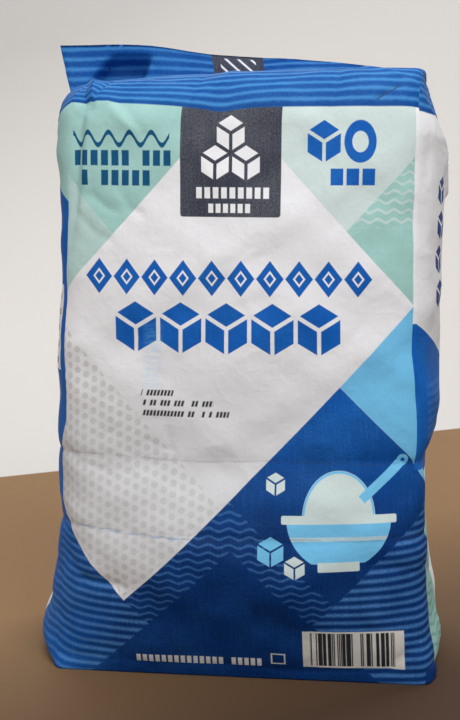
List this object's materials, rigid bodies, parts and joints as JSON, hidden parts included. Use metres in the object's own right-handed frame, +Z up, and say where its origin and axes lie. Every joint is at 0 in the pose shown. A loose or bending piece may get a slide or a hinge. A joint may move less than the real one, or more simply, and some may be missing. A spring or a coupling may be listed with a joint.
{
  "type": "paper bag of sugar",
  "caption": "Shut paper bag of granulated sugar that stands on its folded bottom, with bulging walls, rounded shoulders and a rolled fin along the top.",
  "frame": {"origin": "under the middle of the bag's box, on the plane that it stands on", "axes": "+Z up along the bag's height, -Y out of the front panel, +X to the right seen from the front"},
  "size_m": [0.2, 0.125, 0.3038],
  "materials": {
    "printed_paper": "coated paper printed in blue, pale blue, mint and white, semi-matte"
  },
  "bodies": {
    "root": {"sugar_bag": "printed_paper"}
  },
  "joints": []
}
